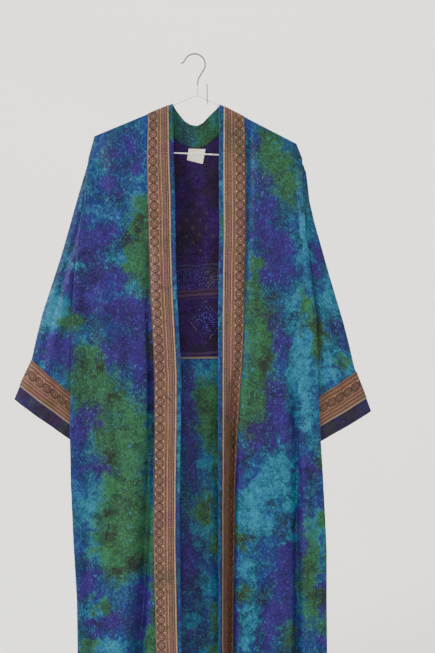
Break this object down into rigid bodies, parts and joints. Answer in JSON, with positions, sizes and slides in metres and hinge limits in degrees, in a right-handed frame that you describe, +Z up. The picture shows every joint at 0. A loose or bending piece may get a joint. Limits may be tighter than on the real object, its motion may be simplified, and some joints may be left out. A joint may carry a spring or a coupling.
{
  "type": "kimono robe on a wire hanger",
  "caption": "Long open-front kimono robe of tie-dyed silk with woven borders, hung flat on a wire hanger from a square-bend wall hook.",
  "frame": {"origin": "centre of the wall hook's shank where it leaves the wall, on the wall's plane Y = 0", "axes": "+X to the viewer's right, +Y into the wall, +Z up; the robe hangs before the wall at negative Y"},
  "size_m": [0.7952, 0.0543, 1.4617],
  "materials": {
    "over_dyed_silk": "soft silk, tie-dyed turquoise, blue, violet and green, low sheen",
    "over_dyed_silk_dark": "soft silk, woven brocade dyed dark plum and violet, low sheen",
    "over_dyed_silk_green": "soft silk, tie-dyed green and teal, low sheen",
    "plum_silk": "soft silk, dark plum, low sheen",
    "woven_border": "woven bronze-brown zari border, metallic thread",
    "label_cloth": "woven cotton label, cream, matt",
    "white_coated_wire": "white coated steel wire, satin",
    "plain_steel_wire": "grey galvanised steel wire, satin",
    "brass_plated_steel": "brass-plated screw hook, satin"
  },
  "bodies": {
    "root": {"back_upper": "over_dyed_silk_dark", "back_lower": "over_dyed_silk", "front_left": "over_dyed_silk", "front_right": "over_dyed_silk", "sleeve_left": "over_dyed_silk", "sleeve_right": "over_dyed_silk", "collar_back": "over_dyed_silk_green", "cuff_left": "plum_silk", "cuff_right": "plum_silk", "border_left": "woven_border", "border_right": "woven_border", "border_neck": "woven_border", "cuff_border_left": "woven_border", "cuff_border_right": "woven_border", "label": "label_cloth", "hanger_frame": "white_coated_wire", "hanger_stem": "white_coated_wire", "hanger_hook": "plain_steel_wire", "wall_hook": "brass_plated_steel"}
  },
  "joints": []
}
